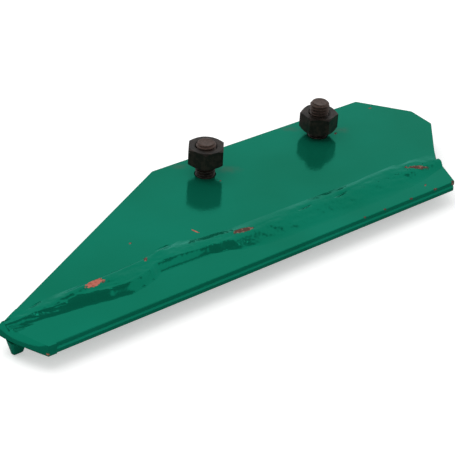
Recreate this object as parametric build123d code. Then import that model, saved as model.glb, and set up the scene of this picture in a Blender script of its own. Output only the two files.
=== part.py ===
from build123d import *
import math
import os

# Bolt-on share wing: a flame-cut wing plate with a two-layer cutting edge welded along its
# front and two countersunk 7/16 inch bolts that carry their nuts loosely.
# Millimetres. The origin is midway between the two bolts, on the face that bolts to the
# share leg. X runs along the bolt line towards the wide end, Y towards the straight rear
# edge, and Z out of the plate on the side of the nuts.

# Wing plate
plate_t = 8.0
bolt_spacing = 80.0
plate_rear = 18.0
plate_front = 58.5
rear_left_x = -63.0
rear_right_x = 84.5
shoulder_x = 105.0
shoulder_top = 9.0
shoulder_bottom = 26.0
tail_x = 78.0
nose_x = -200.0
nose_flat = 2.0
corner_r = 1.5
rim_r = 0.6

# Weld preparation along the front edge of the plate
bevel_w = 7.0
bevel_depth = 4.0
root_gap = 2.0
cut_past = 1.0

# Cutting edge: a thin strip over a thicker wear bar, flush with the underside of the plate
strip_drop = 2.0
strip_t = 2.3
strip_right_w = 18.3
strip_left_inset = 2.5
strip_right_reach = 2.2
strip_end_angle = 20.0
edge_skew = 0.7
bar_proud = 0.5
bar_setback = 0.4
bar_chamfer = 1.2
bar_fillet = 0.8
lip_r = 0.4

# Weld bead between the plate and the cutting edge
bead_step = 12.0
bead_crest = 0.9
bead_fat_crest = 0.6
bead_tail_crest = 0.3
bead_crest_back = 2.8
bead_tail_crest_back = 7.4
bead_toe = 6.0
bead_fat_toe = 1.8
bead_tail_toe = 2.6
bead_nose_toe = 1.5
bead_nose_ease = 36.0
bead_fat_end = 84.0
bead_fat_ease = 32.0
bead_tail_ease = 20.0
bead_wander = 0.7
bead_wave = 61.0
bead_margin = 1.0

# Weld over the left ends of the two layers and the tip of the plate
nose_weld_start_x = 0.4
nose_weld_start_y = 0.5
nose_weld_tip_out = 2.4
nose_weld_mid_out = 2.9
nose_weld_corner_out = 0.5
nose_weld_lap = 4.5
nose_weld_ridge = 1.2
nose_weld_end = 1.0
nose_weld_step = 8.0

# Lug under the nose
lug_inset_x = 4.0
lug_inset_y = 3.7
lug_w = 9.5
lug_l = 6.5
lug_h = 8.7
lug_taper_angle = 12.0
lug_corner_r = 1.4
lug_end_chamfer = 0.9

# Countersunk 7/16 inch bolt with a nib under its head
bolt_d = 11.1
bolt_left_out = 20.0
bolt_right_out = 21.3
bolt_end_chamfer = 1.1
head_d = 24.0
head_land = 1.0
bore_clearance = 0.5
nib_w = 3.0
nib_reach = 9.0
nib_low = 2.0
nib_top = 6.0
nib_clearance = 0.3

# Hexagon nut, 3/4 inch across its flats
nut_af = 19.0
nut_h = 10.0
nut_chamfer_angle = 30.0
nut_thread_clearance = 0.1
nut_countersink = 0.9
nut_left_gap = 8.0
nut_right_gap = 4.5
nut_left_angle = -128.2
nut_right_angle = -157.3

# Values that follow from the sizes above
plate_bottom = -plate_t
strip_top = -strip_drop
bar_top = strip_top - strip_t
edge_rear_y = -(plate_front + root_gap)
bead_rear_y = -(plate_front - bevel_w)
strip_left_x = nose_x + strip_left_inset
strip_right_x = tail_x + strip_right_reach
bolt_x = bolt_spacing / 2
bolt_r = bolt_d / 2
bore_r = bolt_r + bore_clearance
left_rise = (plate_rear + plate_front - nose_flat) / (rear_left_x - nose_x)
right_run = (shoulder_x - tail_x) / (plate_front - shoulder_bottom)
bead_right_x = tail_x + bevel_w * right_run


def prism(points, bottom, top):
    """Straight prism over a plan outline, between two heights."""
    outline = make_face(Polyline(*points, close=True))
    return Pos(0, 0, bottom) * extrude(outline, amount=top - bottom)


def plate_points():
    return [
        (nose_x, -plate_front),
        (tail_x, -plate_front),
        (shoulder_x, -shoulder_bottom),
        (shoulder_x, -shoulder_top),
        (rear_right_x, plate_rear),
        (rear_left_x, plate_rear),
        (nose_x, nose_flat - plate_front),
    ]


def bolt_seat():
    """Countersink and clear hole for one bolt, with the notch that its nib slides into."""
    land = Pos(0, 0, plate_bottom) * cylinder_up(head_d / 2, head_land)
    cone = Pos(0, 0, plate_bottom + head_land) * head_cone()
    bore = Pos(0, 0, plate_bottom) * cylinder_up(bore_r, plate_t)
    notch = nib(nib_clearance)
    return land + cone + bore + notch


def cylinder_up(radius, height):
    return Cylinder(radius, height, align=(Align.CENTER, Align.CENTER, Align.MIN))


def head_cone():
    """Underside of the bolt head, a 90 degree cone from the head's rim down to the shank."""
    height = head_d / 2 - bolt_r
    return Cone(head_d / 2, bolt_r, height, align=(Align.CENTER, Align.CENTER, Align.MIN))


def nib(clearance):
    """Nib that stops the bolt from turning, or its notch when a clearance is given."""
    low = plate_bottom + nib_low
    size_x = nib_reach + clearance
    size_y = nib_w + 2 * clearance
    size_z = nib_top - nib_low + clearance
    block = Box(size_x, size_y, size_z, align=(Align.MIN, Align.CENTER, Align.MIN))
    return Pos(0, 0, low) * block


def wing_plate():
    plate = prism(plate_points(), plate_bottom, 0)
    corners = [e for e in plate.edges().filter_by(Axis.Z) if e.center().X > nose_x / 2]
    plate = fillet(corners, corner_r)
    rim = [
        e
        for e in plate.faces().sort_by(Axis.Z)[-1].edges()
        if e.center().Y > bead_rear_y and e.center().X > nose_x / 2
    ]
    plate = fillet(rim, rim_r)
    bevel = make_face(
        Polyline(
            (bead_rear_y, 0),
            (-plate_front, -bevel_depth),
            (-plate_front - root_gap, -bevel_depth),
            (-plate_front - root_gap, plate_t),
            (bead_rear_y, plate_t),
            close=True,
        )
    )
    plate -= extrude(Plane.YZ.offset(nose_x - cut_past) * bevel, amount=shoulder_x - nose_x)
    for side in (-1, 1):
        plate -= Pos(side * bolt_x, 0, 0) * bolt_seat()
    return plate


def front_y(x, proud=0.0):
    """Front edge of the cutting edge in plan, which runs slightly askew to the bolt line."""
    right_front_x = strip_right_x - strip_right_w * math.tan(math.radians(strip_end_angle))
    run = (right_front_x - x) * math.tan(math.radians(edge_skew))
    return edge_rear_y - strip_right_w - run - proud


def layer_points(setback=0.0, proud=0.0):
    """Plan outline of one layer: a long trapezoid with slanted ends."""
    slant = math.tan(math.radians(strip_end_angle))
    right_x = strip_right_x - setback
    left_front_x = strip_left_x + strip_right_w * slant
    right_front_x = right_x - (strip_right_w + proud) * slant
    left_front_x += (edge_rear_y - strip_right_w - front_y(left_front_x)) * slant
    return [
        (strip_left_x, edge_rear_y),
        (left_front_x, front_y(left_front_x, proud)),
        (right_front_x, front_y(right_front_x, proud)),
        (right_x, edge_rear_y),
    ]


def front_edges(solid, z):
    """Long front edge of a layer at one height."""
    limit = edge_rear_y - strip_right_w / 2
    level = [e for e in solid.edges() if abs(e.center().Z - z) < 0.01]
    return [e for e in level if e.center().Y < limit and e.length > strip_right_w * 3]


def cutting_strip():
    strip = prism(layer_points(), bar_top, strip_top)
    return fillet(front_edges(strip, strip_top), lip_r)


def wear_bar():
    bar = prism(layer_points(bar_setback, bar_proud), plate_bottom, bar_top)
    bar = chamfer(front_edges(bar, bar_top), bar_chamfer)
    return fillet(front_edges(bar, plate_bottom), bar_fillet)


def smooth(value):
    """Eased step from 0 to 1."""
    value = min(max(value, 0.0), 1.0)
    return value * value * (3 - 2 * value)


def bead_section(x):
    """Profile of the hand-laid bead at one station, filling the joint down to the underside."""
    from_nose = x - nose_x
    wave = math.sin(2 * math.pi * x / bead_wave)
    fade = smooth(from_nose / bead_nose_ease)
    fat = fade * (1 - smooth((from_nose - bead_fat_end) / bead_fat_ease))
    tail = 1 - smooth((bead_right_x - x) / bead_tail_ease)
    crest_z = fade * (bead_crest + bead_fat_crest * fat) + (bead_tail_crest - bead_crest) * tail
    crest_back = bead_crest_back + (bead_tail_crest_back - bead_crest_back) * tail
    crest_y = bead_rear_y - crest_back - bead_wander * wave
    toe_y = edge_rear_y - bead_nose_toe * (1 - fade) - (bead_toe + bead_fat_toe * fat) * fade
    toe_y -= bead_wander * fade * math.sin(4 * math.pi * x / bead_wave)
    toe_y += (bead_toe - bead_tail_toe) * tail
    drop = crest_z - strip_top
    top = Spline(
        (bead_rear_y, 0),
        (crest_y, crest_z),
        (crest_y + (toe_y - crest_y) / 3, strip_top + drop * (1 - smooth(1 / 3))),
        (crest_y + (toe_y - crest_y) * 2 / 3, strip_top + drop * (1 - smooth(2 / 3))),
        (toe_y, strip_top),
    )
    base = Polyline((toe_y, strip_top), (toe_y, plate_bottom), (bead_rear_y, plate_bottom), (bead_rear_y, 0))
    return Plane.YZ.offset(x) * make_face(top + base)


def joint_outline():
    """Plan area that the bead may cover: the joint, clipped at the slanted ends of the parts."""
    reach = edge_rear_y - bead_toe - bead_fat_toe - bead_wander
    slant = math.tan(math.radians(strip_end_angle))
    behind = bevel_w + bead_margin
    start_x = nose_x + nose_weld_lap / 2
    return [
        (start_x, nose_flat - plate_front + (start_x - nose_x) * left_rise),
        (nose_x + behind / left_rise, nose_flat - plate_front + behind),
        (tail_x + behind * right_run, behind - plate_front),
        (tail_x, -plate_front),
        (strip_right_x, edge_rear_y),
        (strip_right_x + (reach - edge_rear_y) * slant, reach),
        (start_x, reach),
    ]


def weld_bead(plate, strip, bar, end_weld):
    count = math.ceil((bead_right_x - nose_x) / bead_step)
    step = (bead_right_x - nose_x) / count
    bead = loft([bead_section(nose_x + i * step) for i in range(count + 1)], ruled=True)
    bead &= prism(joint_outline(), plate_bottom, plate_t)
    return bead - plate - strip - bar - end_weld


def nose_section(share):
    """Upright section of the end weld, from the plate's tip at 0 to the front corner at 1."""
    corner_x, corner_y = layer_points(0, bar_proud)[1]
    start_x = nose_x - nose_weld_start_x
    start_y = nose_flat - plate_front + nose_weld_start_y
    x = start_x + (corner_x - nose_weld_end - start_x) * share
    y = start_y + (corner_y - start_y) * share
    top = strip_top * smooth((start_y - y) / nose_weld_step)
    out = nose_weld_tip_out * (1 - share) * (1 - 2 * share)
    out += nose_weld_mid_out * 4 * share * (1 - share)
    out += nose_weld_corner_out * share * (2 * share - 1)
    low = (-out, plate_bottom + nose_weld_ridge)
    rim = Spline((0, top), (-out / 2, top - nose_weld_ridge), low)
    foot = (-out / 2, plate_bottom)
    back = Polyline(low, foot, (nose_weld_lap, plate_bottom), (nose_weld_lap, top), (0, top))
    upright = Plane(origin=(x, y, 0), x_dir=(1, 0, 0), z_dir=(0, -1, 0))
    return upright * make_face(rim + back)


def nose_weld(plate, strip, bar, lug):
    """Weld around the left ends of the plate and both layers, down to the lug."""
    count = 6
    weld = loft([nose_section(i / count) for i in range(count + 1)], ruled=True)
    return weld - plate - strip - bar - lug


def nose_lug():
    """Tapered lug welded under the tip, which locates the wing against the share point."""
    shrink = (lug_h - lug_end_chamfer) * math.tan(math.radians(lug_taper_angle))
    levels = [
        (0, 0, lug_corner_r),
        (lug_h - lug_end_chamfer, shrink, lug_corner_r),
        (lug_h, shrink + lug_end_chamfer, lug_corner_r - lug_end_chamfer),
    ]
    outlines = [
        Pos(0, 0, -down) * RectangleRounded(lug_w - 2 * inset, lug_l - 2 * inset, radius)
        for down, inset, radius in levels
    ]
    lug = loft(outlines, ruled=True)
    return Pos(nose_x + lug_inset_x, -plate_front - lug_inset_y, plate_bottom) * lug


def bolt(stands_out):
    """Countersunk bolt, its head flush with the underside of the plate."""
    land = Pos(0, 0, plate_bottom) * cylinder_up(head_d / 2, head_land)
    cone = Pos(0, 0, plate_bottom + head_land) * head_cone()
    shank = Pos(0, 0, plate_bottom) * cylinder_up(bolt_r, plate_t + stands_out)
    shank = chamfer(shank.edges().sort_by(Axis.Z)[-1], bolt_end_chamfer)
    return land + cone + shank + nib(0)


def nut():
    """Hexagon nut with both rims turned to a shallow cone, standing on its lower face."""
    corner_r_nut = nut_af / 2 / math.cos(math.radians(30))
    drop = (corner_r_nut - nut_af / 2) * math.tan(math.radians(nut_chamfer_angle))
    hexagon = extrude(RegularPolygon(corner_r_nut, 6), amount=nut_h)
    turned = make_face(
        Polyline(
            (0, 0),
            (nut_af / 2, 0),
            (corner_r_nut, drop),
            (corner_r_nut, nut_h - drop),
            (nut_af / 2, nut_h),
            (0, nut_h),
            close=True,
        )
    )
    body = hexagon & revolve(Plane.XZ * turned, Axis.Z)
    bore = cylinder_up(bolt_r + nut_thread_clearance, nut_h)
    sink_r = bolt_r + nut_countersink
    sink = Cone(sink_r, bolt_r, nut_countersink, align=(Align.CENTER, Align.CENTER, Align.MIN))
    top_sink = Pos(0, 0, nut_h) * Rot(180, 0, 0) * sink
    return body - bore - sink - top_sink


def placed_nut(side, gap, angle):
    return Pos(side * bolt_x, 0, gap) * Rot(0, 0, angle) * nut()


plate = wing_plate()
strip = cutting_strip()
bar = wear_bar()
lug = nose_lug()
end_weld = nose_weld(plate, strip, bar, lug)

pieces = {
    "wing_plate": plate,
    "cutting_strip": strip,
    "wear_bar": bar,
    "weld_bead": weld_bead(plate, strip, bar, end_weld),
    "nose_weld": end_weld,
    "nose_lug": lug,
    "bolt_left": Pos(-bolt_x, 0, 0) * bolt(bolt_left_out),
    "bolt_right": Pos(bolt_x, 0, 0) * bolt(bolt_right_out),
    "nut_left": placed_nut(-1, nut_left_gap, nut_left_angle),
    "nut_right": placed_nut(1, nut_right_gap, nut_right_angle),
}

os.makedirs("parts", exist_ok=True)
for name, solid in pieces.items():
    export_step(solid, f"parts/{name}.step")
    print(name, round(solid.volume), "mm3")
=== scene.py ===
import bmesh
import bpy
import math
from bpy.props import FloatProperty, FloatVectorProperty, IntProperty, PointerProperty
from mathutils import Matrix, Vector, noise


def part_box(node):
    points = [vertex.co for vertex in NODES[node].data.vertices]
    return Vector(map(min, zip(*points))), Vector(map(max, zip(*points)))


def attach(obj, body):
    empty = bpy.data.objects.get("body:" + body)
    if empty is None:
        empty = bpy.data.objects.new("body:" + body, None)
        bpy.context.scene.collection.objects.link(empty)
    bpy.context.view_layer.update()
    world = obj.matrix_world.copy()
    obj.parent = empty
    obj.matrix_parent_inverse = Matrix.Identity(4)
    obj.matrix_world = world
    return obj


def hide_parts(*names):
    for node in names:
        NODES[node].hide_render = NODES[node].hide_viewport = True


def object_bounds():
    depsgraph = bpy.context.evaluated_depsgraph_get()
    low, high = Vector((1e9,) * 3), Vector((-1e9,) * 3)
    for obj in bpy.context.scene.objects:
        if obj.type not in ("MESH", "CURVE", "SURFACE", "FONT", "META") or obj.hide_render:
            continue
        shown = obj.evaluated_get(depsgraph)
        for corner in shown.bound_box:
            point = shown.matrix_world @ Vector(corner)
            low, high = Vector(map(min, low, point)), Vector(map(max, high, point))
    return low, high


bl_info = {
    "name": "Share wing finish",
    "version": (1, 0, 0),
    "blender": (4, 5, 0),
    "location": "3D View > Sidebar > Share wing",
    "description": "Enamel, weld bead, fasteners and studio for the bolt-on share wing",
    "category": "Object",
}

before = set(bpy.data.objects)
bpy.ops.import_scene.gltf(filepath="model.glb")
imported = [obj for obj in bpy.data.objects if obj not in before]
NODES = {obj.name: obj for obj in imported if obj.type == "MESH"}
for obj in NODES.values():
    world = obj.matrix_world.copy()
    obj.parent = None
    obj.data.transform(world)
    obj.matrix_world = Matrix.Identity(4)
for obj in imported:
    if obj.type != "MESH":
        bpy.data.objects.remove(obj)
CAD_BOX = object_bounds()
MM = 0.001

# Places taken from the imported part, in metres in its own frame
PLATE_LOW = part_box("wing_plate")[0]
STRIP_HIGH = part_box("cutting_strip")[1]
BOLT_NODES = ("bolt_left", "bolt_right")
NUT_NODES = ("nut_left", "nut_right")
PAINTED_NODES = ("wing_plate", "cutting_strip", "wear_bar", "nose_weld", "nose_lug")

# Plan sizes of the welded pieces, in millimetres, as the part has them
PLATE_FRONT = 58.5
PLATE_TAIL_X = 78.0
SHOULDER_X = 105.0
SHOULDER_FRONT = 26.0
TIP_FLAT = 2.0
TIP_EDGE_RISE = 0.5438
STRIP_TAIL_X = 80.1
STRIP_END_ANGLE = 20.0
ROOT_GAP = 2.0
BEVEL_WIDTH = 7.0
BEVEL_DEPTH = 4.0


def linear(hex_colour):
    """Turns an sRGB hex colour into linear light."""
    parts = [int(hex_colour[i:i + 2], 16) / 255 for i in (1, 3, 5)]
    return tuple(c / 12.92 if c <= 0.04045 else ((c + 0.055) / 1.055) ** 2.4 for c in parts)


def rgba(colour):
    return (*colour, 1.0)


def eased(value):
    """Eased step from 0 to 1."""
    value = min(max(value, 0.0), 1.0)
    return value * value * (3 - 2 * value)


# Marks on the enamel, in millimetres in the part's frame: centre, half sizes, turn about Z in
# degrees. Each one is an ellipsoid whose rim the chip material breaks up.
PRIMER_CHIPS = (
    ((-147.8, -55.6, 1.0), (5.6, 2.5, 3.0), 4),
    ((-151.2, -84.2, -3.6), (2.1, 1.6, 1.5), 0),
    ((-192.0, -84.5, -7.0), (2.3, 2.6, 2.0), 0),
    ((-78.0, -43.5, 0.0), (0.5, 2.6, 1.0), 18),
)
STEEL_CHIPS = (
    ((-57.5, -56.8, 0.6), (6.2, 1.7, 3.0), -8),
    ((63.0, -58.8, -0.6), (6.8, 1.5, 3.0), -30),
    ((-115.4, -52.2, 1.0), (1.0, 2.1, 3.0), -32),
    ((-112.5, -34.3, 0.0), (0.9, 0.6, 1.0), 20),
    ((49.5, -5.0, 0.0), (1.3, 0.8, 1.0), 30),
    ((86.3, 7.0, 0.0), (1.2, 0.8, 1.0), 0),
    ((-37.4, -10.6, 0.0), (0.7, 0.5, 1.0), 0),
    ((7.4, -79.2, -2.2), (0.8, 0.6, 0.7), 0),
    ((21.8, -79.1, -2.3), (1.0, 0.5, 0.6), 0),
    ((41.0, -78.9, -2.2), (1.2, 0.6, 0.7), 0),
    ((59.0, -78.7, -2.4), (1.4, 0.6, 0.7), 0),
    ((57.0, -73.0, -2.0), (1.3, 0.5, 0.6), 35),
    ((72.6, -78.4, -3.0), (1.2, 1.2, 1.6), 0),
    ((-143.9, -57.2, 0.8), (1.1, 0.9, 2.0), 0),
)
# Shallow dents that the welder's chipping hammer and the paint left near the tip and along the joint
DENTS = (
    ((-177.0, -60.6, -1.0), (13.0, 1.5, 6.0), -7),
    ((-193.5, -62.6, -1.5), (7.0, 0.9, 6.0), -8),
    ((-180.5, -53.4, 0.0), (4.4, 0.8, 6.0), 12),
    ((-16.0, -57.2, 0.5), (5.0, 0.8, 6.0), 3),
    ((9.0, -57.5, 0.0), (5.0, 0.9, 6.0), 6),
    ((-101.0, -46.8, 0.5), (4.5, 1.0, 6.0), 3),
)
# Oily smudges beside the loose nuts, where fingers held them
SMUDGES = (
    ((-26.5, -3.5, 0.0), (7.5, 4.0, 3.0), -30),
    ((-47.5, 14.0, 0.0), (6.0, 3.0, 3.0), -30),
    ((53.5, -3.0, 0.0), (6.5, 3.5, 3.0), -30),
    ((31.0, 13.0, 0.0), (6.0, 3.4, 3.0), -30),
)

# The bead as it was laid, from the tip to the wide end, in millimetres: station along X, crest
# line, crest height over the plate, shoulder where it starts to fall, and its foot on the strip
BEAD_STATIONS = (
    (-201.0, -57.4, 0.00, -58.5, -61.4),
    (-192.0, -57.2, 0.05, -58.8, -62.2),
    (-182.0, -56.8, 0.15, -59.4, -63.2),
    (-174.0, -56.6, 0.40, -59.8, -64.4),
    (-167.0, -56.2, 0.95, -59.4, -65.4),
    (-160.0, -55.4, 1.50, -58.6, -66.2),
    (-153.0, -54.8, 1.75, -60.0, -67.2),
    (-144.0, -54.2, 1.80, -62.4, -68.6),
    (-134.0, -53.8, 1.80, -63.4, -69.6),
    (-126.0, -53.3, 1.70, -62.4, -68.2),
    (-119.0, -52.6, 1.60, -60.0, -66.0),
    (-112.0, -51.0, 1.60, -56.8, -62.6),
    (-106.0, -49.6, 1.65, -56.8, -62.4),
    (-99.0, -51.4, 1.40, -57.2, -62.6),
    (-90.0, -53.0, 1.15, -57.6, -62.6),
    (-82.0, -53.8, 0.95, -57.8, -63.2),
    (-74.0, -54.2, 0.80, -59.0, -65.0),
    (-64.0, -55.4, 0.60, -58.4, -69.0),
    (-50.0, -56.4, 0.50, -58.0, -72.0),
    (-33.0, -55.6, 0.45, -57.4, -72.5),
    (-12.0, -54.8, 0.55, -56.4, -72.5),
    (4.0, -55.2, 0.45, -57.0, -72.5),
    (17.0, -54.9, 0.60, -56.5, -72.5),
    (33.0, -53.7, 0.60, -55.5, -72.0),
    (48.0, -53.1, 0.60, -55.0, -71.0),
    (55.3, -55.8, 0.45, -57.5, -70.0),
    (61.6, -54.2, 0.80, -57.0, -69.0),
    (66.4, -55.5, 0.80, -58.6, -68.0),
    (73.0, -59.0, 0.60, -60.4, -66.0),
    (80.0, -59.4, 0.35, -60.6, -64.0),
    (90.0, -59.4, 0.30, -60.6, -63.6),
)


class ShareWingPaint(bpy.types.PropertyGroup):
    enamel: FloatVectorProperty(
        name="Enamel", description="Colour of the green enamel", subtype="COLOR",
        size=3, min=0, max=1, default=linear("#0e7a60"))
    enamel_thin: FloatVectorProperty(
        name="Thin enamel", description="Colour where the enamel was sprayed thinner", subtype="COLOR",
        size=3, min=0, max=1, default=linear("#0b7257"))
    primer: FloatVectorProperty(
        name="Primer", description="Salmon primer that shows in the chips", subtype="COLOR",
        size=3, min=0, max=1, default=linear("#be6e5f"))
    bare: FloatVectorProperty(
        name="Bare steel", description="Browned steel in the deeper chips", subtype="COLOR",
        size=3, min=0, max=1, default=linear("#5a4038"))
    roughness: FloatProperty(
        name="Roughness", description="Roughness of the glossy enamel", min=0.02, max=1, default=0.13)
    peel: FloatProperty(
        name="Orange peel", description="Depth of the orange peel in the sprayed enamel",
        subtype="DISTANCE", unit="LENGTH", min=0, max=0.001, default=0.00003)


class ShareWingWeld(bpy.types.PropertyGroup):
    ripple_pitch: FloatProperty(
        name="Ripple pitch", description="Distance between the ripples of the bead",
        subtype="DISTANCE", unit="LENGTH", min=0.001, max=0.01, default=0.0027)
    ripple_depth: FloatProperty(
        name="Ripple depth", description="Height of the ripples under the paint",
        subtype="DISTANCE", unit="LENGTH", min=0, max=0.001, default=0.00002)
    lumps: FloatProperty(
        name="Lumps", description="Height of the uneven lumps along the bead",
        subtype="DISTANCE", unit="LENGTH", min=0, max=0.002, default=0.00028)
    back: FloatProperty(
        name="Back slope", description="Width of the slope behind the crest",
        subtype="DISTANCE", unit="LENGTH", min=0.001, max=0.008, default=0.0036)
    along: IntProperty(
        name="Divisions along", description="Mesh divisions along the bead", min=60, max=900, default=560)
    across: IntProperty(
        name="Divisions across", description="Mesh divisions across the bead", min=8, max=80, default=44)


class ShareWingFasteners(bpy.types.PropertyGroup):
    oxide: FloatVectorProperty(
        name="Black oxide", description="Colour of the blackened steel", subtype="COLOR",
        size=3, min=0, max=1, default=linear("#1c1815"))
    # Oil film on the bolt ends; where faces point up it is laid fuller as painted top light
    oil: FloatVectorProperty(
        name="Oil film", description="Brownish film on the bolt ends", subtype="COLOR",
        size=3, min=0, max=1, default=linear("#513f38"))
    pitch: FloatProperty(
        name="Thread pitch", description="Pitch of the 14 threads per inch",
        subtype="DISTANCE", unit="LENGTH", min=0.0005, max=0.004, default=0.001814)
    thread_depth: FloatProperty(
        name="Thread depth", description="Depth of the thread from crest to root",
        subtype="DISTANCE", unit="LENGTH", min=0.0001, max=0.002, default=0.0011)
    end_chamfer: FloatProperty(
        name="End chamfer", description="Chamfer on the free end of the bolt",
        subtype="DISTANCE", unit="LENGTH", min=0.0001, max=0.003, default=0.0012)


class ShareWingStage(bpy.types.PropertyGroup):
    lens: FloatProperty(
        name="Focal length", description="Focal length of the camera in millimetres",
        min=20, max=400, default=126.6)
    key: FloatProperty(
        name="Key strength", description="Power of the large overhead softbox",
        subtype="POWER", unit="POWER", min=0, max=500, default=5)
    glint: FloatProperty(
        name="Glint strength", description="Power of the small softbox that gives the sharp glints",
        subtype="POWER", unit="POWER", min=0, max=100, default=0.05)
    sky: FloatProperty(
        name="Room light", description="Strength of the even light of the room",
        min=0, max=3, default=0.62)
    floor: FloatVectorProperty(
        name="Floor", description="Colour of the pale floor", subtype="COLOR",
        size=3, min=0, max=1, default=linear("#ececec"))


def add_node(tree, kind, values=None, links=None, **settings):
    """Adds one shader node with its settings, its socket values and its incoming links."""
    node = tree.nodes.new(kind)
    for key, value in settings.items():
        setattr(node, key, value)
    for key, value in (values or {}).items():
        node.inputs[key].default_value = value
    for key, source in (links or {}).items():
        tree.links.new(source, node.inputs[key])
    return node


def new_material(name):
    material = bpy.data.materials.new(name)
    material.use_nodes = True
    material.node_tree.nodes.clear()
    return material


def mark_field(tree, place, marks, wander):
    """Distance to the nearest mark, 1 at its rim, with the rim broken up by noise."""
    nearest = None
    for centre, half, turn in marks:
        local = add_node(
            tree, "ShaderNodeMapping", vector_type="TEXTURE",
            values={
                "Location": Vector(centre) * MM,
                "Rotation": (0, 0, math.radians(turn)),
                "Scale": Vector(half) * MM,
            },
            links={"Vector": place})
        length = add_node(
            tree, "ShaderNodeVectorMath", operation="LENGTH", links={0: local.outputs[0]})
        if nearest is None:
            nearest = length.outputs["Value"]
        else:
            nearest = add_node(
                tree, "ShaderNodeMath", operation="MINIMUM",
                links={0: nearest, 1: length.outputs["Value"]}).outputs[0]
    return add_node(
        tree, "ShaderNodeMath", operation="ADD", links={0: nearest, 1: wander}).outputs[0]


def mask(tree, field, inside, outside):
    """1 where the field is below inside, falling smoothly to 0 at outside."""
    return add_node(
        tree, "ShaderNodeMapRange", interpolation_type="SMOOTHSTEP",
        values={"From Min": inside, "From Max": outside, "To Min": 1.0, "To Max": 0.0},
        links={"Value": field}).outputs["Result"]


def grain(tree, place, size_mm, detail=3.0, roughness=0.5, stretch=None):
    """Noise whose features are about size_mm wide, from 0 to 1."""
    if stretch:
        place = add_node(
            tree, "ShaderNodeMapping", values={"Scale": stretch}, links={"Vector": place}).outputs[0]
    return add_node(
        tree, "ShaderNodeTexNoise",
        values={"Scale": 1.0 / (size_mm * MM), "Detail": detail, "Roughness": roughness},
        links={"Vector": place}).outputs["Fac"]


def mix_colour(tree, factor, first, second):
    """Mixes two colours, each a linear colour or a socket."""
    node = add_node(tree, "ShaderNodeMix", data_type="RGBA", links={0: factor})
    for socket, colour in ((6, first), (7, second)):
        if isinstance(colour, bpy.types.NodeSocket):
            tree.links.new(colour, node.inputs[socket])
        else:
            node.inputs[socket].default_value = rgba(colour)
    return node.outputs[2]


def scaled(tree, value, factor, offset=0.0):
    return add_node(
        tree, "ShaderNodeMath", operation="MULTIPLY_ADD",
        values={1: factor, 2: offset}, links={0: value}).outputs[0]


def bumped(tree, height, depth_m, normal=None, strength=1.0):
    links = {"Height": height}
    if normal is not None:
        links["Normal"] = normal
    return add_node(
        tree, "ShaderNodeBump", values={"Strength": strength, "Distance": depth_m},
        links=links).outputs["Normal"]


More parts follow.
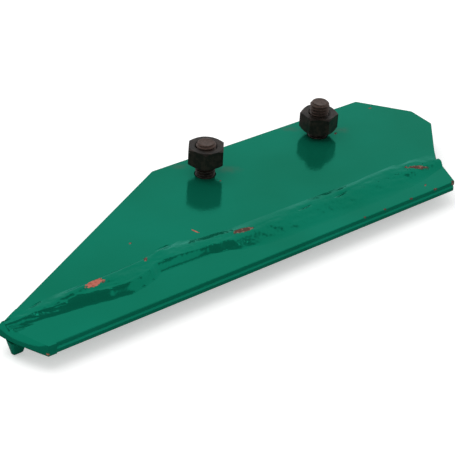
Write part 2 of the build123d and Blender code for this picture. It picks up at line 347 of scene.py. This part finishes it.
def sprayed_gloss_enamel(name, paint):
    """Alkyd enamel sprayed wet over a salmon primer on hot-rolled steel.

    It is smooth and glossy, so it mirrors the nuts softly. The spray leaves a fine orange peel
    and clouds of slightly thinner paint, and knocks break it down to primer or to brown steel.
    """
    material = new_material(name)
    tree = material.node_tree
    place = add_node(tree, "ShaderNodeTexCoord").outputs["Object"]

    # Chips with ragged rims a few tenths of a millimetre wide
    ragged = scaled(tree, grain(tree, place, 1.3, 4.0, 0.65), 1.5, -0.75)
    primer_field = mark_field(tree, place, PRIMER_CHIPS, ragged)
    steel_field = mark_field(tree, place, STEEL_CHIPS, ragged)
    primer_mask = mask(tree, primer_field, 0.90, 1.0)
    steel_mask = mask(tree, steel_field, 0.90, 1.0)

    # Spray clouds 70 mm wide and dust 4 mm wide vary the green by a few percent
    clouds = grain(tree, place, 70, 2.0)
    dust = grain(tree, place, 4, 3.0)
    cloud_mix = add_node(
        tree, "ShaderNodeMapRange", values={"From Min": 0.35, "From Max": 0.65},
        links={"Value": clouds}).outputs["Result"]
    green = mix_colour(tree, cloud_mix, tuple(paint.enamel), tuple(paint.enamel_thin))
    fleck = scaled(tree, mask(tree, dust, 0.30, 0.42), 0.18)
    green = mix_colour(tree, fleck, green, tuple(paint.enamel_thin))

    # Finger smudges of brown oil, blotchy at 5 mm
    blotch = scaled(tree, grain(tree, place, 5, 3.0), 1.6, -0.8)
    smudge_field = mark_field(tree, place, SMUDGES, blotch)
    smudge = scaled(tree, mask(tree, smudge_field, 0.1, 1.4), 0.42)
    green = mix_colour(tree, smudge, green, linear("#5a6454"))

    # Primer is mottled by the brown steel that shows through it
    mottle = mask(tree, grain(tree, place, 1.6, 3.0), 0.40, 0.47)
    primer = mix_colour(tree, mottle, tuple(paint.primer), linear("#a5594a"))
    rust = mix_colour(tree, mottle, tuple(paint.bare), linear("#86695c"))
    colour = mix_colour(tree, primer_mask, green, primer)
    colour = mix_colour(tree, steel_mask, colour, rust)

    chip = add_node(
        tree, "ShaderNodeMath", operation="MAXIMUM",
        links={0: primer_mask, 1: steel_mask}).outputs[0]
    gloss = scaled(tree, grain(tree, place, 18, 3.0), 0.06, paint.roughness - 0.03)
    dulled = add_node(
        tree, "ShaderNodeMath", operation="ADD",
        links={0: gloss, 1: scaled(tree, smudge, 0.35)}).outputs[0]
    roughness = add_node(
        tree, "ShaderNodeMix", data_type="FLOAT", values={3: 0.78},
        links={0: chip, 2: dulled}).outputs[0]
    metal = add_node(
        tree, "ShaderNodeMix", data_type="FLOAT", values={2: 0.52, 3: 0.0},
        links={0: chip}).outputs[0]

    # Orange peel 1.4 mm wide, long waves of the rolled plate and the step at a chip's rim
    normal = bumped(tree, grain(tree, place, 1.4, 2.0), paint.peel)
    normal = bumped(tree, grain(tree, place, 14, 2.0, stretch=(0.45, 1.0, 1.0)), 0.00012, normal)
    dent_wander = scaled(tree, grain(tree, place, 6, 2.0), 0.8, -0.4)
    dent_field = mark_field(tree, place, DENTS, dent_wander)
    normal = bumped(tree, scaled(tree, mask(tree, dent_field, 0.0, 1.2), -1.0), 0.0007, normal)
    normal = bumped(tree, scaled(tree, chip, -1.0), 0.00018, normal)

    surface = add_node(
        tree, "ShaderNodeBsdfPrincipled",
        values={"IOR": 1.5, "Specular IOR Level": 0.08, "Specular Tint": (0.0, 1.0, 0.95, 1.0)},
        links={"Base Color": colour, "Roughness": roughness, "Metallic": metal, "Normal": normal})
    add_node(tree, "ShaderNodeOutputMaterial", links={"Surface": surface.outputs[0]})
    return material


def black_oxide_steel(name, fasteners, bolt_end=None):
    """Alloy steel blackened in a hot oxide bath and dipped in oil.

    The oxide is nearly black with a dull sheen. Near a bolt's end, over the thread, a thin brownish oil
    film lies on it, full on faces that point up and a third on steep faces: that lift on the tops is
    painted top light.
    """
    material = new_material(name)
    tree = material.node_tree
    place = add_node(tree, "ShaderNodeTexCoord").outputs["Object"]
    film = grain(tree, place, 3.2, 4.0, 0.6)
    worn = mask(tree, film, 0.40, 0.56)
    base = mix_colour(tree, scaled(tree, worn, 0.45), tuple(fasteners.oxide), linear("#3a2f29"))
    if bolt_end is not None:
        height = add_node(
            tree, "ShaderNodeSeparateXYZ", links={"Vector": place}).outputs["Z"]
        facing = add_node(
            tree, "ShaderNodeSeparateXYZ",
            links={"Vector": add_node(tree, "ShaderNodeNewGeometry").outputs["Normal"]}).outputs["Z"]
        high = add_node(
            tree, "ShaderNodeMapRange",
            values={"From Min": bolt_end - 0.009, "From Max": bolt_end - 0.0005},
            links={"Value": height}).outputs["Result"]
        # Faces that point up get the full lighter brown and steep ones a third of it: painted top light on
        # the bolt end
        up = add_node(
            tree, "ShaderNodeMapRange", values={"From Min": 0.2, "From Max": 0.9, "To Min": 0.35},
            links={"Value": facing}).outputs["Result"]
        oil_film_and_painted_top_light = add_node(
            tree, "ShaderNodeMath", operation="MULTIPLY", links={0: high, 1: up}).outputs[0]
        speckle = mask(tree, grain(tree, place, 1.1, 3.0), 0.35, 0.62)
        brown = mix_colour(tree, speckle, tuple(fasteners.oil), linear("#3c302a"))
        base = mix_colour(tree, oil_film_and_painted_top_light, base, brown)
    roughness = scaled(tree, grain(tree, place, 2.4, 3.0), 0.22, 0.30)
    normal = bumped(tree, grain(tree, place, 0.6, 3.0), 0.00003)
    normal = bumped(tree, grain(tree, place, 3.5, 2.0), 0.00006, normal)
    surface = add_node(
        tree, "ShaderNodeBsdfPrincipled",
        values={"Metallic": 0.3, "Specular IOR Level": 0.28},
        links={"Base Color": base, "Roughness": roughness, "Normal": normal})
    add_node(tree, "ShaderNodeOutputMaterial", links={"Surface": surface.outputs[0]})
    return material


def finish_mesh(name, mesh_data, material, angle=40):
    """Turns a bmesh into a shaded object that rides on the part's body."""
    bmesh.ops.remove_doubles(mesh_data, verts=mesh_data.verts, dist=1e-7)
    bmesh.ops.recalc_face_normals(mesh_data, faces=mesh_data.faces)
    mesh = bpy.data.meshes.new(name)
    mesh_data.to_mesh(mesh)
    mesh_data.free()
    mesh.polygons.foreach_set("use_smooth", [True] * len(mesh.polygons))
    mesh.set_sharp_from_angle(angle=math.radians(angle))
    piece = bpy.data.objects.new(name, mesh)
    bpy.context.scene.collection.objects.link(piece)
    mesh.materials.append(material)
    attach(piece, "root")
    return piece


def station(x):
    """Crest line, crest height, shoulder and foot of the bead at x, eased between the stations."""
    for first, second in zip(BEAD_STATIONS, BEAD_STATIONS[1:]):
        if x <= second[0]:
            share = eased((x - first[0]) / (second[0] - first[0]))
            return [a + (b - a) * share for a, b in zip(first[1:], second[1:])]
    return list(BEAD_STATIONS[-1][1:])


def bead_height(x, y, back, weld):
    """Height of the bead's surface in millimetres at one place of the plan."""
    crest, rise, shoulder, foot = station(x)
    lump = noise.fractal(Vector((x / 9.0, y / 5.0, 1.7)), 1.0, 2.0, 3)
    ripple = math.sin(2 * math.pi * (x + 0.06 * (y - crest) ** 2) * MM / weld.ripple_pitch)
    foot_z = STRIP_HIGH.z / MM - 0.015
    crown = 0.22 * rise
    if y >= crest:
        body = eased((back - y) / (back - crest)) ** 0.8
        height = (rise + 0.015) * body - 0.015
    else:
        fall = eased((y - foot) / (shoulder - foot))
        height = rise - crown * eased((crest - y) / (crest - shoulder))
        height = foot_z + (height - foot_z) * fall
        body = eased(2 * (y - foot) / (crest - foot))
    height += body * (lump * weld.lumps + ripple * weld.ripple_depth) / MM
    return height


def bead_limits(y):
    """Left and right end of the bead in plan, where the plate and the strip end."""
    ahead = y + PLATE_FRONT
    left = PLATE_LOW.x / MM + 0.1 + max(ahead - TIP_FLAT, 0.0) / TIP_EDGE_RISE
    if ahead > 0:
        right = PLATE_TAIL_X + ahead * (SHOULDER_X - PLATE_TAIL_X) / (PLATE_FRONT - SHOULDER_FRONT)
    else:
        turn = math.tan(math.radians(STRIP_END_ANGLE))
        right = STRIP_TAIL_X + min(ahead + ROOT_GAP, 0.0) * turn
    return left, right


class SHAREWING_OT_enamel(bpy.types.Operator):
    """Sprays the plate, both layers of the edge, the end weld and the lug with green enamel"""
    bl_idname = "sharewing.enamel"
    bl_label = "Enamel the welded pieces"

    def execute(self, context):
        enamel = sprayed_gloss_enamel("gloss_enamel_on_steel", context.scene.sharewing_paint)
        for name in PAINTED_NODES:
            data = NODES[name].data
            data.materials.clear()
            data.materials.append(enamel)
        return {"FINISHED"}


class SHAREWING_OT_weld_bead(bpy.types.Operator):
    """Lays the hand-made weld bead between the plate and the cutting edge"""
    bl_idname = "sharewing.weld_bead"
    bl_label = "Lay the weld bead"

    def execute(self, context):
        weld = context.scene.sharewing_weld
        built = bmesh.new()
        rows = []
        plate_low = PLATE_LOW.z / MM
        strip_rear = STRIP_HIGH.y / MM
        tail_x = PLATE_TAIL_X + BEVEL_WIDTH / 2
        for i in range(weld.along + 1):
            u = i / weld.along
            middle = (PLATE_LOW.x / MM) * (1 - u) + tail_x * u
            crest, rise, shoulder, foot = station(middle)
            back = max(crest + weld.back / MM, BEVEL_WIDTH + 0.4 - PLATE_FRONT)
            row = []
            for j in range(weld.across + 1):
                y = foot - 0.5 + (back + 0.3 - foot + 0.5) * j / weld.across
                left, right = bead_limits(y)
                x = left + (right - left) * u
                z = bead_height(x, y, back, weld)
                if j == 0:
                    z = STRIP_HIGH.z / MM - 0.4
                if j == weld.across:
                    z = -0.4
                row.append(built.verts.new(Vector((x, y, z)) * MM))
            # Underside of the bead, down in the joint and just under the surfaces beside it
            for y, z in ((back, -0.5), (BEVEL_WIDTH - PLATE_FRONT, -0.6),
                         (-PLATE_FRONT, -0.1 - BEVEL_DEPTH), (-PLATE_FRONT, plate_low + 0.05),
                         (strip_rear, plate_low + 0.05), (strip_rear, -2.5), (foot, -2.5)):
                left, right = bead_limits(y)
                row.append(built.verts.new(Vector((left + (right - left) * u, y, z)) * MM))
            rows.append(row)
        for first, second in zip(rows, rows[1:]):
            count = len(first)
            for j in range(count):
                k = (j + 1) % count
                built.faces.new((first[j], first[k], second[k], second[j]))
        built.faces.new(rows[0])
        built.faces.new(list(reversed(rows[-1])))
        bmesh.ops.triangulate(built, faces=[f for f in built.faces if len(f.verts) > 4])
        enamel = NODES["wing_plate"].data.materials[0]
        bead = finish_mesh("weld_bead_laid", built, enamel, 60)
        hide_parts("weld_bead")
        return {"FINISHED"}


class SHAREWING_OT_bolts(bpy.types.Operator):
    """Turns the two countersunk bolts with their cut threads"""
    bl_idname = "sharewing.bolts"
    bl_label = "Turn the bolts"

    def execute(self, context):
        fasteners = context.scene.sharewing_fasteners
        low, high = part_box(BOLT_NODES[0])
        steel = black_oxide_steel("black_oxide_bolt_steel", fasteners, high.z)
        for name in BOLT_NODES:
            low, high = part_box(name)
            bolt = turned_bolt(name + "_threaded", low, high, fasteners, steel)
            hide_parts(name)
        return {"FINISHED"}


def thread_radius(height, turn, radius, fasteners):
    """Radius of the thread at a height and an angle: flat crest, straight flanks, flat root."""
    phase = (height / fasteners.pitch - turn / (2 * math.pi)) % 1.0
    ridge = abs(phase - 0.5) * 2
    return radius - fasteners.thread_depth * min(max((ridge - 0.14) / 0.62, 0.0), 1.0)


def turned_bolt(name, low, high, fasteners, material):
    """Countersunk bolt: flush head with its nib below, threaded shank above."""
    segments = 72
    radius = 0.00555
    head = (high.y - low.y) / 2 - 0.00003
    centre = Vector(((low.x + low.x + 2 * head) / 2, (low.y + high.y) / 2, 0))
    cone_top = low.z + 0.001 + head - radius
    profile = [(0.0, low.z), (head - 0.0004, low.z), (head, low.z + 0.0004), (head, low.z + 0.001),
               (radius + 0.0002, cone_top - 0.0002), (radius, cone_top + 0.0001)]
    steps = math.ceil((high.z - cone_top) / (fasteners.pitch / 14))
    built = bmesh.new()
    rings = []
    for r, z in profile[1:]:
        rings.append([(r * math.cos(a), r * math.sin(a), z)
                      for a in [2 * math.pi * i / segments for i in range(segments)]])
    first = cone_top + 0.0002
    for k in range(steps + 1):
        z = first + (high.z - first) * k / steps
        limit = radius - max(fasteners.end_chamfer - (high.z - z), 0.0)
        start = eased((z - first) / (fasteners.pitch * 0.8))
        ring = []
        for i in range(segments):
            a = 2 * math.pi * i / segments
            cut = thread_radius(z, a, radius, fasteners)
            r = min(radius + (cut - radius) * start, limit)
            ring.append((r * math.cos(a), r * math.sin(a), z))
        rings.append(ring)
    flat = radius - fasteners.end_chamfer
    for share, dip in ((0.86, 0.0), (0.80, 0.00004), (0.3, 0.00006)):
        rings.append([(flat * share * math.cos(a), flat * share * math.sin(a), high.z - dip)
                      for a in [2 * math.pi * i / segments for i in range(segments)]])
    placed = [[built.verts.new(centre + Vector(p)) for p in ring] for ring in rings]
    for below, above in zip(placed, placed[1:]):
        for i in range(segments):
            k = (i + 1) % segments
            built.faces.new((below[i], below[k], above[k], above[i]))
    for ring, z in ((placed[0], low.z), (placed[-1], high.z - 0.00006)):
        middle = built.verts.new(centre + Vector((0, 0, z)))
        for i in range(segments):
            built.faces.new((ring[i], ring[(i + 1) % segments], middle))
    nib = bmesh.ops.create_cube(built, size=1.0)["verts"]
    nib_low, nib_high = 0.002, 0.006
    for v in nib:
        v.co = Vector((centre.x + 0.0045 + v.co.x * 0.0088, centre.y + v.co.y * 0.003,
                       low.z + (nib_low + nib_high) / 2 + v.co.z * (nib_high - nib_low)))
    return finish_mesh(name, built, material, 50)


class SHAREWING_OT_nuts(bpy.types.Operator):
    """Blackens the two loose hexagon nuts"""
    bl_idname = "sharewing.nuts"
    bl_label = "Blacken the nuts"

    def execute(self, context):
        steel = black_oxide_steel("black_oxide_nut_steel", context.scene.sharewing_fasteners)
        for name in NUT_NODES:
            data = NODES[name].data
            data.materials.clear()
            data.materials.append(steel)
        return {"FINISHED"}


def softbox(name, place, target, size, power):
    """Square area lamp aimed at a point."""
    data = bpy.data.lights.new(name, "AREA")
    data.shape = "RECTANGLE"
    data.size, data.size_y = size
    data.energy = power
    lamp = bpy.data.objects.new(name, data)
    lamp.location = place
    lamp.rotation_euler = (Vector(target) - Vector(place)).to_track_quat("-Z", "Y").to_euler()
    bpy.context.scene.collection.objects.link(lamp)
    return lamp


def pale_floor_material(colour):
    """Matt white paper sweep. The camera sees it a little brighter and its shadow stays; in mirrors it is
    painted grey, a painted dark reflection on the part's sides.
    """
    material = new_material("matt_paper_sweep")
    tree = material.node_tree
    path = add_node(tree, "ShaderNodeLightPath")
    place = add_node(tree, "ShaderNodeTexCoord").outputs["Object"]
    fibre = scaled(tree, grain(tree, place, 2.5, 2.0), 0.02, 0.9)
    # Mirrors see the floor grey instead of white: painted dark reflection that shades the part's front and
    # side faces
    paper_with_painted_dark_reflection = mix_colour(tree, path.outputs["Is Glossy Ray"], colour, linear("#8a8a8a"))
    glow = scaled(tree, path.outputs["Is Camera Ray"], 0.42)
    surface = add_node(
        tree, "ShaderNodeBsdfPrincipled",
        values={"Specular IOR Level": 0.0, "Emission Color": (1, 1, 1, 1)},
        links={"Base Color": paper_with_painted_dark_reflection, "Roughness": fibre, "Emission Strength": glow})
    add_node(tree, "ShaderNodeOutputMaterial", links={"Surface": surface.outputs[0]})
    return material


def studio_world(scene, strength):
    """White room. Seen directly or low in a mirror it is white; overhead it is a dim ceiling."""
    world = bpy.data.worlds.new("white_studio_room")
    world.use_nodes = True
    tree = world.node_tree
    tree.nodes.clear()
    direction = add_node(tree, "ShaderNodeTexCoord").outputs["Generated"]
    height = add_node(tree, "ShaderNodeSeparateXYZ", links={"Vector": direction}).outputs["Z"]
    wall = add_node(
        tree, "ShaderNodeMapRange", interpolation_type="SMOOTHSTEP",
        values={"From Min": 0.79, "From Max": 0.85, "To Min": 0.9, "To Max": 0.05},
        links={"Value": height}).outputs["Result"]
    path = add_node(tree, "ShaderNodeLightPath")
    level = add_node(
        tree, "ShaderNodeMix", data_type="FLOAT", values={2: strength},
        links={0: path.outputs["Is Glossy Ray"], 3: wall}).outputs[0]
    seen = add_node(
        tree, "ShaderNodeMath", operation="MAXIMUM",
        links={0: path.outputs["Is Camera Ray"], 1: path.outputs["Is Transmission Ray"]}).outputs[0]
    level = add_node(
        tree, "ShaderNodeMix", data_type="FLOAT", values={3: 1.0},
        links={0: seen, 2: level}).outputs[0]
    room = add_node(
        tree, "ShaderNodeBackground", values={"Color": (1, 1, 1, 1)}, links={"Strength": level})
    add_node(tree, "ShaderNodeOutputWorld", links={"Surface": room.outputs[0]})
    scene.world = world


class SHAREWING_OT_stage(bpy.types.Operator):
    """Sets the floor, the soft studio light and the camera"""
    bl_idname = "sharewing.stage"
    bl_label = "Set the stage"

    def execute(self, context):
        scene = context.scene
        settings = scene.sharewing_stage
        studio_world(scene, settings.sky)
        scene.view_settings.view_transform = "Standard"

        floor_mesh = bmesh.new()
        bmesh.ops.create_grid(floor_mesh, x_segments=8, y_segments=8, size=4.0)
        mesh = bpy.data.meshes.new("paper_sweep")
        floor_mesh.to_mesh(mesh)
        floor_mesh.free()
        mesh.materials.append(pale_floor_material(tuple(settings.floor)))
        floor = bpy.data.objects.new("paper_sweep", mesh)
        floor.location = (0, 0, CAD_BOX[0][2] - 0.0002)
        scene.collection.objects.link(floor)

        middle = (Vector(CAD_BOX[0]) + Vector(CAD_BOX[1])) / 2
        overhead = softbox(
            "overhead_softbox", middle + Vector((-0.25, 0.15, 1.1)), middle, (0.9, 0.9), settings.key)
        overhead.visible_glossy = False
        softbox("glint_softbox", middle + Vector((0.41, 0.10, 0.84)), middle, (0.08, 0.08), settings.glint)

        data = bpy.data.cameras.new("photo_camera")
        data.sensor_width = 36.0
        data.sensor_fit = "HORIZONTAL"
        data.lens = settings.lens
        camera = bpy.data.objects.new("photo_camera", data)
        right = Vector((0.79868, -0.60013, 0.04410))
        up = Vector((0.30015, 0.46082, 0.83520))
        back = Vector((-0.52156, -0.65382, 0.54819))
        camera.matrix_world = Matrix.Translation((-0.4962, -0.5941, 0.4564)) @ Matrix(
            (right, up, back)).transposed().to_4x4()
        scene.collection.objects.link(camera)
        scene.camera = camera
        return {"FINISHED"}


class SHAREWING_PT_panel(bpy.types.Panel):
    """Lists the settings and the steps of the share wing"""
    bl_idname = "SHAREWING_PT_panel"
    bl_label = "Share wing"
    bl_space_type = "VIEW_3D"
    bl_region_type = "UI"
    bl_category = "Share wing"

    def draw(self, context):
        layout = self.layout
        for group in (context.scene.sharewing_paint, context.scene.sharewing_weld,
                      context.scene.sharewing_fasteners, context.scene.sharewing_stage):
            box = layout.box()
            for name in group.__annotations__:
                box.prop(group, name)
        for step in STEPS:
            layout.operator(step.bl_idname)


GROUPS = (ShareWingPaint, ShareWingWeld, ShareWingFasteners, ShareWingStage)
STEPS = (SHAREWING_OT_enamel, SHAREWING_OT_weld_bead, SHAREWING_OT_bolts, SHAREWING_OT_nuts,
         SHAREWING_OT_stage)


def register():
    for cls in GROUPS + STEPS + (SHAREWING_PT_panel,):
        bpy.utils.register_class(cls)
    bpy.types.Scene.sharewing_paint = PointerProperty(type=ShareWingPaint)
    bpy.types.Scene.sharewing_weld = PointerProperty(type=ShareWingWeld)
    bpy.types.Scene.sharewing_fasteners = PointerProperty(type=ShareWingFasteners)
    bpy.types.Scene.sharewing_stage = PointerProperty(type=ShareWingStage)


def unregister():
    del bpy.types.Scene.sharewing_stage
    del bpy.types.Scene.sharewing_fasteners
    del bpy.types.Scene.sharewing_weld
    del bpy.types.Scene.sharewing_paint
    for cls in reversed(GROUPS + STEPS + (SHAREWING_PT_panel,)):
        bpy.utils.unregister_class(cls)


def main():
    register()
    bpy.ops.sharewing.enamel()
    bpy.ops.sharewing.weld_bead()
    bpy.ops.sharewing.bolts()
    bpy.ops.sharewing.nuts()
    bpy.ops.sharewing.stage()


if __name__ == "__main__":
    main()
